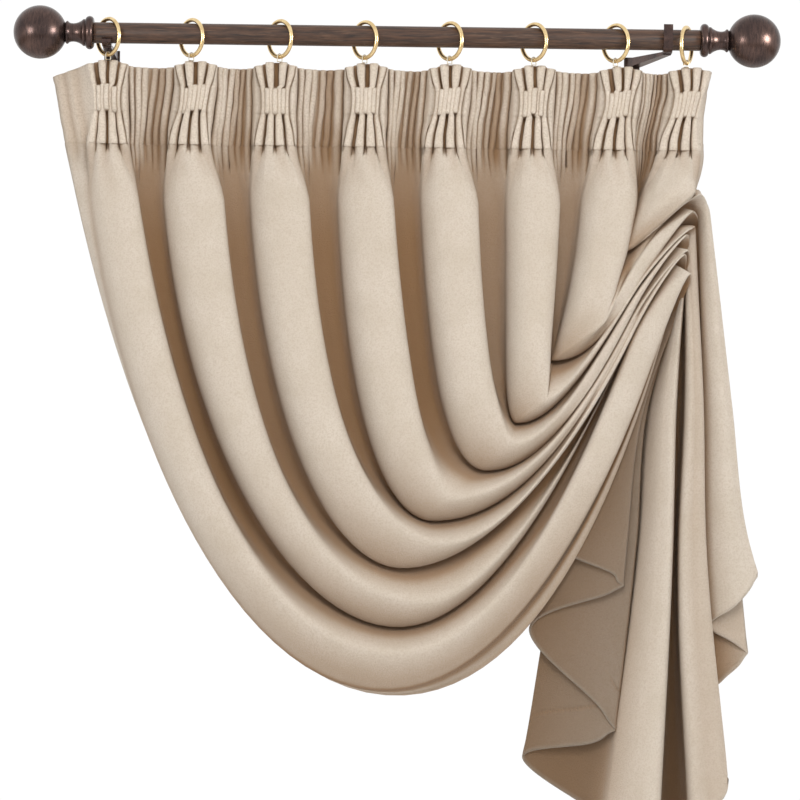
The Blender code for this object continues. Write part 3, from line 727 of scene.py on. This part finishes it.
# Lines down the tail: the share of the cloth's width before each, where it leaves the folds that
# turn over the tie, its x at the upper and the lower drop, its end on the hem, its front near the
# top and at the hem, and how much painted shade it gets.
TailLine = namedtuple(
    "TailLine", "name share topX topDrop upperX lowerX hemX hemDrop topFront hemFront shade"
)
tailSizes = {
    "upperDrop": 440.0,
    "lowerDrop": 600.0,
    "cornerWidth": 0.02,  # share of the cloth's width beside a corner that runs straight to it
    "rim": 0.991,  # share of the way down at which the hem's rim with its painted highlight starts
    "rimProud": 2.2,
    "rimHighlight": 0.45,
    "swagShaded": (0.4, 0.45),  # up to this share of the width, the tail hangs behind the swag and gets painted shadow
}
tailLines = [
    TailLine("innerEdge", 0.0, 332, 328, 288, 226, 212, 620, -14, -10, 0.85),
    TailLine("corner1", 0.08, 339, 324, 299, 281, 277, 656, -13, -10, 0.6),
    TailLine("back1", 0.16, 334, 321, 278, 210, 166, 709, -20, -24, 0.9),
    TailLine("corner2", 0.25, 342, 317, 304, 293, 271, 831, -24, -20, 0.48),
    TailLine("back2", 0.34, 339, 313, 282, 212, 160, 866, -30, -36, 0.9),
    TailLine("gap1", 0.42, 341, 309, 306, 293, 250, 933, -30, -34, 0.8),
    TailLine("left2", 0.46, 341, 305, 311, 300, 262, 945, -18, -14, 0.42),
    TailLine("crest2", 0.5, 343, 300, 325, 319, 294, 956, -8, 6, 0.1),
    TailLine("right2", 0.535, 346, 294, 337, 335, 322, 962, -12, 0, 0.24),
    TailLine("gap2", 0.552, 347, 284, 338, 335, 322, 962, -32, -34, 1.35),
    TailLine("gap3", 0.592, 348, 268, 348, 343, 360, 960, -32, -34, 1.35),
    TailLine("left3", 0.61, 347, 250, 349, 343, 361, 955, -12, 0, 0.34),
    TailLine("crest3", 0.65, 350, 238, 360, 359, 384, 925, -3, 10, 0.28),
    TailLine("right3", 0.7, 358, 233, 369, 374, 404, 886, -12, 4, 0.32),
    TailLine("back3", 0.75, 357, 230, 362, 364, 366, 806, -28, -28, 1.2),
    TailLine("under3", 0.79, 361, 226, 380, 390, 399, 768, -26, -22, 0.85),
    TailLine("corner3", 0.83, 364, 222, 395, 413, 428, 735, -24, -16, 0.3),
    TailLine("back4", 0.87, 363, 216, 371, 376, 381, 704, -18, -12, 0.35),
    TailLine("crest4", 0.91, 369, 210, 388, 402, 411, 677, -8, 2, 0.0),
    TailLine("corner4", 0.96, 375, 207, 404, 426, 438, 641, -10, -2, 0.0),
    TailLine("outerEdge", 1.0, 370, 210, 396, 414, 420, 634, -24, -16, 0.25),
]


def foldEdgeAt(edge, along):  # along is 0 at the neck, 0.5 in the belly and 1 at the tie
    neck = np.array([edge.neck, headingSizes["seam"]])
    belly = np.array([edge.bellyX, edge.bellyDrop])
    tie = np.array([edge.tieX, edge.tieDrop])
    if along < 0.5:
        leave, arrive = neck + [edge.lean, edge.fall], belly - [edge.sweep, 0]
        return bezier(neck, leave, arrive, belly, 2 * along)
    arrive = tie + [-edge.pullX, edge.pullDrop]
    return bezier(belly, belly + [edge.rise, 0], arrive, tie, 2 * along - 1)


def swagLevelAt(field, along):
    stations = [level.along for level in swagLevels]
    values = [getattr(level, field) for level in swagLevels]
    return float(through(stations, values, np.array([along]))[0])


def swagRow(along, columns):
    edges = [foldEdgeAt(edge, along) for edge in foldEdges]
    depth = swagLevelAt("depth", along)
    swells = np.array([edge.swell for edge in foldEdges]) * swagLevelAt("swell", along)
    turn = smoothstep(0.22, 0.46, along)  # from falling to the belly
    lift = smoothstep(0.6, 0.85, along)  # from the belly to rising
    ways = np.array([1 - turn, turn * (1 - lift), turn * lift])
    back = 1 - smoothstep(0.3, 0.6, along)
    ear = smoothstep(0.9, 1.0, along)
    fallBack, bellyBack = drapeSizes["leadBack"]
    under = bellyBack * (1 - back) * (1 - lift)
    knots = [
        (*edges[0], -fallBack * back - under - 4 * lift, 0.6 * turn),
        (*(edges[0] + edges[1]) / 2, -14 * back - 0.75 * under, 0.45 * turn),
    ]
    for fold in range(foldCount):
        first = 1 + 2 * fold
        gather = gathers[fold]
        lastFold = fold == foldCount - 1
        for crimp in crimps[:7] if lastFold else crimps:
            across = float(ways @ [crimp.fallAcross, crimp.bellyAcross, crimp.riseAcross])
            front = float(ways @ [crimp.fallFront, crimp.bellyFront, crimp.riseFront])
            shade = float(ways @ [crimp.fallShade, crimp.bellyShade, crimp.riseShade])
            shade *= 0.8 + 0.2 * float(smoothstep(0.0, 0.08, along))
            if lastFold:
                across = min(across, 1.0)
            band = min(int(across), 2)
            after = min(first + band + 1, len(edges) - 1)
            share = across - band
            spot = edges[first + band] * (1 - share) + edges[after] * share
            swell = swells[first + band] * (1 - share) + swells[after] * share
            toEar = ear * min(1.0, max(0.0, front)) ** 0.8
            spot = spot * (1 - toEar) + np.array([gather.earX, gather.earDrop]) * toEar
            startsFold = crimp.riseAcross < 0.2 and fold > 0
            valley = gathers[fold - 1] if startsFold else gather
            atCrest = 0.2 < crimp.riseAcross < 0.8
            joined = 0.0 if atCrest else valley.joined * lift * (1 - ear)
            if front < 0.8:
                front = front * (1 - joined) + 0.8 * joined
            # painted shade in the valleys: less where a valley is filled, scaled for each fold as
            # it rises and lessened on the way down
            shade *= (1 - joined) * (1 - lift * (1 - valley.tint) * (1 - ear))
            shade *= 1 - (1 - turn) * valley.paler
            # painted shade in the crease beside the leading edge's strip
            if fold == 0 and crimp is crimps[0]:
                shade += 0.9 * lift + 0.6 * turn * (1 - lift)
            if front < 0:
                deeper = (drapeSizes["valleyTimes"] - 1) * (1 - turn)
                front *= 1 + deeper + (gather.valley - 1) * lift
            else:
                front *= 1 + (gather.ridge - 1) * lift
            knots.append((*spot, swell + depth * front - gather.sink * lift, shade))
    knots.append((*(edges[-2] * 0.4 + edges[-1] * 0.6), -8, 0.2))
    knots.append((*edges[-1], -16, 0.3))
    row = through(np.arange(lastKnot + 1), knots, columns)
    row[:, 2] -= headingSizes["setBack"] * (1 - smoothstep(0.0, 0.3, along))
    row[:, 3] = np.clip(row[:, 3], 0, 2)
    return row


def tailRow(down, columns):  # down is 0 where the tail leaves the tie and 1 at the hem
    spots = []
    share = smoothstep(0.0, 0.35, down)
    for line in tailLines:
        drop = line.topDrop + (line.hemDrop - line.topDrop) * down
        drops = [line.topDrop, tailSizes["upperDrop"], tailSizes["lowerDrop"], line.hemDrop]
        x = through(drops, [line.topX, line.upperX, line.lowerX, line.hemX], np.array([drop]))[0]
        front = line.topFront * (1 - share) + line.hemFront * share
        spots.append((x, drop, front, line.shade))
    spots = np.array(spots)
    shares = np.array([line.share for line in tailLines])
    spread = columns / lastKnot
    soft = through(shares, spots, spread)
    straight = np.stack([np.interp(spread, shares, spots[:, field]) for field in range(4)], axis=1)
    corners = np.array([line.share for line in tailLines if line.name.startswith("corner")])
    apart = np.min(np.abs(spread[:, None] - corners), axis=1)
    sharp = np.exp(-((apart / tailSizes["cornerWidth"]) ** 2))[:, None]
    row = soft * (1 - sharp) + straight * sharp
    # the hem's rim stands proud and gets a painted highlight
    rim = smoothstep(tailSizes["rim"], 1.0, down)
    row[:, 2] += tailSizes["rimProud"] * rim
    row[:, 3] = np.clip(row[:, 3] * (1 - tailSizes["rimHighlight"] * rim), 0, 2)
    return row


# Dents that run on below the seam, where the gaps between a pleat's fingers close: how far right of
# the ridge's middle each starts, how far it drifts, its depth and its length.
Dent = namedtuple("Dent", "fold start drift depth reach")
dents = [
    Dent(0, -3, 2, 5.0, 62),
    Dent(0, 13, 16, 3.5, 44),
    Dent(1, -11, -4, 4.5, 46),
    Dent(1, 10, 14, 3.6, 50),
    Dent(2, -14, -4, 2.5, 26),
    Dent(2, 3, 14, 4.6, 48),
    Dent(3, -12, -1, 5.0, 58),
    Dent(3, 8, 8, 4.0, 40),
    Dent(4, -12, -8, 4.6, 44),
    Dent(4, 6, 12, 4.6, 46),
    Dent(5, -10, -7, 4.6, 42),
    Dent(5, 7, 3, 4.0, 40),
    Dent(6, -12, -6, 4.0, 50),
    Dent(6, 4, 2, 4.2, 48),
    Dent(7, -8, -8, 3.0, 26),
    Dent(7, 6, -4, 4.0, 34),
]


# Just below the seam the panel still has the pleats' section. It loses it over these lengths.
neckFades = {"x": 70, "front": 50, "slits": 14, "ridgeShade": 8, "valleyShade": 34}
neckRows = [0.0018, 0.0036, 0.0062, 0.0125, 0.0195, 0.028]  # extra rows there
behindHeading = [(123, -2.4), (129, -2.3)]  # the panel's top, up behind the strip: drop and front


def pressDents(row, down):
    for dent in dents:
        share = np.clip(down / dent.reach, 0, 1)
        middle = pleatLooks[dent.fold].seam + dent.start + dent.drift * share
        middle = middle + (down / 60) ** 2 * 10
        width = 4.0 + 6.0 * share
        near = np.exp(-(((row[:, 0] - middle) / width) ** 2)) * (1 - share) ** 0.8 * (down > -1)
        near = near * (row[:, 2] > -18)  # on the ridges only
        row[:, 2] -= dent.depth * near
        # painted shade in the dent
        row[:, 3] += 0.32 * near


def drapeRows(columns):
    spread = np.linspace(0, 1, drapeSizes["swagRows"])
    spread = spread - 0.35 / (2 * math.pi) * np.sin(2 * math.pi * spread)
    spread = np.sort(np.concatenate([spread, neckRows]))
    swag = [swagRow(along, columns) for along in spread]
    neck = swag[0].copy()
    seam = headSection(headingSizes["seam"], columns)
    onRidge = (columns - edgeKnots) % knotsPerFold < ridgeKnots
    outline = seam[:, 2].copy()  # the pleats' front without the slits between their fingers
    for shift in (-3, -2, -1, 1, 2, 3):
        beside = np.roll(seam[:, 2], shift)
        outline = np.where(onRidge, np.maximum(outline, beside), outline)
    pleated = seam - neck
    for row in swag:
        down = row[:, 1] - headingSizes["seam"]
        left = {name: 1 - smoothstep(0, length, down) for name, length in neckFades.items()}
        row[:, 0] += pleated[:, 0] * left["x"]
        row[:, 2] += (outline - neck[:, 2]) * left["front"]
        row[:, 2] += (seam[:, 2] - outline) * left["slits"]
        # the pleats' painted shade fades out below the seam
        keep = np.where(onRidge, 0.6 * left["ridgeShade"], left["valleyShade"])
        row[:, 3] += pleated[:, 3] * keep
        pressDents(row, down)
        row[:, 3] = np.clip(row[:, 3], 0, 2)
    under = []
    for drop, back in behindHeading:
        row = swag[0].copy()
        row[:, 1] = drop
        row[:, 2] += back
        under.append(row)
    downs = [*np.linspace(0, tailSizes["rim"], drapeSizes["tailRows"] - 1), 1.0]
    tail = [tailRow(down, columns) for down in downs]
    last, first = swag[-1], tail[0]
    leave = last - swag[-3]
    leave[:, :3] *= drapeSizes["turnReach"] / np.linalg.norm(leave[:, :3], axis=1, keepdims=True)
    leave[:, 2] = -4
    arrive = first - tail[1]
    reach = 1.6 * drapeSizes["turnReach"]
    arrive[:, :3] *= reach / np.linalg.norm(arrive[:, :3], axis=1, keepdims=True)
    steps = (1 - np.cos(np.linspace(0, math.pi, drapeSizes["turnRows"] + 2)[1:-1])) / 2
    turned = [bezier(last, last + leave, first + arrive, first, s) for s in steps]
    # painted shade in the folds that turn over the tie, except near the trailing edge
    turnShaded = columns < 0.82 * lastKnot
    for s, row in zip(steps, turned):
        row[:, 3] += drapeSizes["turnShade"] * math.sin(math.pi * s) * turnShaded
    return under + swag + turned + tail


def swagShadow(rows, columns):  # painted shadow: 1 on the tail's left part, which hangs behind the swag
    left = 1 - smoothstep(*tailSizes["swagShaded"], columns / lastKnot)
    tailStart = rows - drapeSizes["tailRows"]
    tail = smoothstep(tailStart - 4, tailStart, np.arange(rows))
    return tail[:, None] * left[None, :]


def clothPiece(name, rows, surface, thickness, hemThickness, swagShaded):
    rows = np.array(rows)
    rows[:, :, 3] = np.clip(rows[:, :, 3], 0, 2)
    rowCount, columnCount = rows.shape[:2]
    bm = bmesh.new()
    bmesh.ops.create_grid(bm, x_segments=columnCount - 1, y_segments=rowCount - 1, size=0.5)
    widths = np.linalg.norm(np.diff(rows[:, :, :3], axis=1), axis=2)
    lengths = np.linalg.norm(np.diff(rows[:, :, :3], axis=0), axis=2)
    across = np.append(0.0, np.cumsum(widths[-1]))  # along the hem
    up = np.zeros((rowCount, columnCount))  # from the hem
    up[:-1] = np.cumsum(lengths[::-1], axis=0)[::-1]
    uvLayer = bm.loops.layers.uv.new("clothMetres")
    shadeLayer = bm.verts.layers.float.new("valleyShade")
    swagShadowLayer = bm.verts.layers.float.new("swagShadow")
    spots = {}
    for vert in bm.verts:
        column = round((vert.co.x + 0.5) * (columnCount - 1))
        row = round((0.5 - vert.co.y) * (rowCount - 1))
        spots[vert.index] = (row, column)
        vert[shadeLayer] = rows[row][column][3]
        vert[swagShadowLayer] = swagShaded[row][column]
        vert.co = place(*rows[row][column][:3])
    for face in bm.faces:
        for loop in face.loops:
            row, column = spots[loop.vert.index]
            loop[uvLayer].uv = (across[column] * mm, up[row][column] * mm)
    bmesh.ops.recalc_face_normals(bm, faces=bm.faces)
    piece = addPiece(name, bm, surface, ["curtain"])
    hem = piece.vertex_groups.new(name="hem")
    for index, (row, column) in spots.items():
        atEdge = max(row >= rowCount - 2, column < 2, column > columnCount - 3)
        hem.add([index], 1.0 if atEdge else thickness / hemThickness, "REPLACE")
    thick = piece.modifiers.new("Cloth thickness", "SOLIDIFY")
    thick.thickness = hemThickness * mm
    thick.vertex_group = "hem"
    thick.offset = 0
    area = np.sum(widths, axis=1).mean() * np.mean(up[0]) * mm * mm
    print(name, "rows", rowCount, "columns", columnCount, "rough area", round(area, 3))
    return piece


panelColumns = columnNumbers(*drapeSizes["columns"])
panelRows = drapeRows(panelColumns)
drape = clothPiece(
    "curtain_drape",
    panelRows,
    drapeVelvet,
    drapeSizes["thickness"],
    drapeSizes["hemThickness"],
    swagShadow(len(panelRows), panelColumns),
)
stripColumns = columnNumbers(*headingSizes["columns"])
stripRows = headingRows(stripColumns)
heading = clothPiece(
    "curtain_heading",
    stripRows,
    headingVelvet,
    headingSizes["thickness"],
    headingSizes["thickness"],
    np.zeros((len(stripRows), len(stripColumns))),
)
print("cloth draped")

# the pole
rodSizes = {"radius": 12.5, "left": -367.0, "right": 360.0, "sides": 64, "rimBevel": 0.6}


def makeRod():
    bm = bmesh.new()
    middle = place((rodSizes["left"] + rodSizes["right"]) / 2, 0, 0)
    bmesh.ops.create_cone(
        bm,
        cap_ends=True,
        segments=rodSizes["sides"],
        radius1=rodSizes["radius"] * mm,
        radius2=rodSizes["radius"] * mm,
        depth=(rodSizes["right"] - rodSizes["left"]) * mm,
        matrix=Matrix.Translation(middle) @ Matrix.Rotation(math.radians(90), 4, "Y"),
    )
    rim = [edge for edge in bm.edges if len({round(vert.co.x, 6) for vert in edge.verts}) == 1]
    bmesh.ops.bevel(
        bm,
        geom=rim,
        offset=rodSizes["rimBevel"] * mm,
        segments=2,
        profile=0.5,
        affect="EDGES",
        material=-1,
    )
    rod = addPiece("pole", bm, stainedRod, ["rod"])
    rod.data.set_sharp_from_angle(angle=math.radians(40))


makeRod()

# the ball finials
finialSizes = {
    "gap": 0.3,
    "ball": 32.0,
    "ballSteps": 34,
    "ballStart": (34.4, 11.0),  # away from the pole's end, and radius
    "collar": (5.0, 15.3, 4.7),  # half its width, its inner radius and its height
    "collarSteps": 13,
    "sides": 72,
}

# The neck and the bead between collar and ball: away from the pole's end, and radius.
neckProfile = [
    (10.4, 16.0), (11.6, 16.3), (12.9, 16.0), (13.6, 15.2), (15.6, 13.8), (18.0, 12.5),
    (20.8, 11.5), (23.8, 11.0), (26.6, 11.1), (29.0, 11.7), (30.2, 12.7), (31.0, 13.6),
    (31.9, 13.9), (32.8, 13.6), (33.6, 12.8), (34.2, 11.4),
]


def finialProfile():
    profile = [(0.0, 0.0), (0.0, 14.4), (0.3, 15.2)]
    half, inner, height = finialSizes["collar"]
    for step in range(1, finialSizes["collarSteps"]):
        angle = math.pi * step / finialSizes["collarSteps"]
        profile.append((half - half * math.cos(angle), inner + height * math.sin(angle)))
    profile += neckProfile
    ball = finialSizes["ball"]
    away, radius = finialSizes["ballStart"]
    middle = away + math.sqrt(ball**2 - radius**2)
    first = math.pi - math.asin(radius / ball)
    for step in range(1, finialSizes["ballSteps"]):
        angle = first * (1 - step / finialSizes["ballSteps"])
        profile.append((middle + ball * math.cos(angle), ball * math.sin(angle)))
    profile.append((middle + ball, 0.0))
    return profile


def makeFinial(name, node, end, side):
    bm = bmesh.new()
    verts = [
        bm.verts.new(place(end + side * (finialSizes["gap"] + away), -radius, 0))
        for away, radius in finialProfile()
    ]
    edges = [bm.edges.new(pair) for pair in zip(verts[:-1], verts[1:])]
    bmesh.ops.spin(
        bm,
        geom=verts + edges,
        cent=place(end, 0, 0),
        axis=(1, 0, 0),
        angle=2 * math.pi,
        steps=finialSizes["sides"],
        use_merge=True,
    )
    bmesh.ops.remove_doubles(bm, verts=bm.verts, dist=1e-6)
    bmesh.ops.recalc_face_normals(bm, faces=bm.faces)
    finial = addPiece(name, bm, ballBronze, [node])
    finial.data.set_sharp_from_angle(angle=math.radians(50))


makeFinial("ball_left", "finial_left", rodSizes["left"], -1)
makeFinial("ball_right", "finial_right", rodSizes["right"], 1)
print("pole and finials turned")

# the rings and their eyes
ringSizes = {"radius": 21.5, "wire": 2.5, "steps": 96, "sides": 20, "gap": 0.3}
ringPlaces = [  # x, and how far each ring is turned, in degrees
    (-350, 41), (-250, 41), (-144, 41), (-42, 41), (60, 41), (161, 41), (259, 41), (344, -21),
]


def wireGap(drop, yaw):  # from the pole to the ring's wire
    least = 1e9
    for step in range(360):
        angle = math.radians(step)
        front = ringSizes["radius"] * math.cos(angle) * math.cos(yaw)
        least = min(least, math.hypot(front, drop + ringSizes["radius"] * math.sin(angle)))
    return least - rodSizes["radius"] - ringSizes["wire"]


def ringDrop(yaw):  # how far a turned ring hangs before its wire meets the pole
    drop = ringSizes["radius"] - rodSizes["radius"] - ringSizes["wire"]
    while wireGap(drop, yaw) < ringSizes["gap"]:
        drop -= 0.02
    return drop


def makeRing(number, x, yaw):
    bm = bmesh.new()
    drop = ringDrop(yaw)
    upright = Matrix.Translation(place(x, drop, 0)) @ Matrix.Rotation(yaw, 4, "Z")
    circle = bmesh.ops.create_circle(
        bm,
        segments=ringSizes["sides"],
        radius=ringSizes["wire"] * mm,
        matrix=upright @ Matrix.Translation((0, -ringSizes["radius"] * mm, 0)),
    )
    bmesh.ops.spin(
        bm,
        geom=circle["verts"] + list(bm.edges),
        cent=upright.translation,
        axis=upright.to_3x3() @ Vector((1, 0, 0)),
        angle=2 * math.pi,
        steps=ringSizes["steps"],
        use_merge=True,
    )
    bmesh.ops.remove_doubles(bm, verts=bm.verts, dist=1e-6)
    bmesh.ops.recalc_face_normals(bm, faces=bm.faces)
    addPiece(f"brass_ring_{number}", bm, ringBrass, [f"ring_{number}"])


for number, (x, degrees) in enumerate(ringPlaces, start=1):
    makeRing(number, x, math.radians(degrees))
    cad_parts[f"eye_{number}"].material_slots[0].material = eyeWire
for name in ("bracket_left", "bracket_right"):
    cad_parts[name].material_slots[0].material = bracketBronze
print("rings hung")


# the floor, the light and the camera
studio = {
    "floorDrop": 1700.0,
    "floorSize": 3.0,
    "floorPaint": (0.82, 0.81, 0.8, 1.0),
    "skyStrength": 1.02,
    "highSky": (1.0, 1.0, 1.0),
    "lowSky": (0.42, 0.34, 0.27),
    "lampColour": (1.0, 0.98, 0.95),
}
aim = place(5.6, 436, 0)

bm = bmesh.new()
floorPlace = Matrix.Translation(place(0, studio["floorDrop"], 0))
bmesh.ops.create_grid(bm, x_segments=1, y_segments=1, size=studio["floorSize"], matrix=floorPlace)
floorMesh = bpy.data.meshes.new("floor")
bm.to_mesh(floorMesh)
bm.free()
floorPaint, tree, shader, spots = newMaterial("palePaint")
shader.inputs["Base Color"].default_value = studio["floorPaint"]
shader.inputs["Roughness"].default_value = 0.8
floorMesh.materials.append(floorPaint)
floor = bpy.data.objects.new("floor", floorMesh)
bpy.context.scene.collection.objects.link(floor)

world = bpy.data.worlds.new("studio")
bpy.context.scene.world = world
world.use_nodes = True
tree = world.node_tree
split = tree.nodes.new("ShaderNodeSeparateXYZ")
tree.links.new(tree.nodes.new("ShaderNodeTexCoord").outputs["Generated"], split.inputs[0])
sky = tree.nodes.new("ShaderNodeValToRGB")
for element, position, colour in zip(sky.color_ramp.elements, (0.3, 0.42), ("lowSky", "highSky")):
    element.position = position
    element.color = (*studio[colour], 1.0)
tree.links.new(mathNode(tree, "MULTIPLY_ADD", split.outputs["Z"], 0.5, 0.5), sky.inputs["Fac"])
tree.links.new(sky.outputs["Color"], tree.nodes["Background"].inputs["Color"])
tree.nodes["Background"].inputs["Strength"].default_value = studio["skyStrength"]
bpy.context.scene.view_settings.view_transform = "Standard"


def addLamp(name, spot, size, power, target):
    light = bpy.data.lights.new(name, "AREA")
    light.size = size
    light.energy = power
    light.color = studio["lampColour"]
    lamp = bpy.data.objects.new(name, light)
    bpy.context.scene.collection.objects.link(lamp)
    lamp.location = spot
    lamp.rotation_euler = (target - spot).to_track_quat("-Z", "Y").to_euler()
    return lamp


key = addLamp("key", aim + Vector((0.3, -2.8, 1.9)), 1.2, 46.5, aim)
key.visible_glossy = False
# Two more lamps only make the glints on the balls and the rings.
for name, spot, size, power in (
    ("glintRight", place(2126, -250, 1325), 0.75, 60.0),
    ("glintLeft", place(-1427, -60, 1253), 0.5, 12.0),
):
    glint = addLamp(name, spot, size, power, place(0, 0, 0))
    glint.visible_diffuse = False

cameraView = {"distance": 4.5, "field": 0.96, "roll": 0.74, "sensor": 36}
cameraData = bpy.data.cameras.new("camera")
camera = bpy.data.objects.new("camera", cameraData)
bpy.context.scene.collection.objects.link(camera)
camera.location = aim + Vector((0, -cameraView["distance"], 0))
camera.rotation_euler = (math.radians(90), 0, 0)
camera.rotation_euler.rotate_axis("Z", math.radians(cameraView["roll"]))
cameraData.sensor_width = cameraView["sensor"]
cameraData.lens = cameraView["sensor"] * cameraView["distance"] / cameraView["field"]
bpy.context.scene.camera = camera
print("studio set")

bpy.context.view_layer.update()
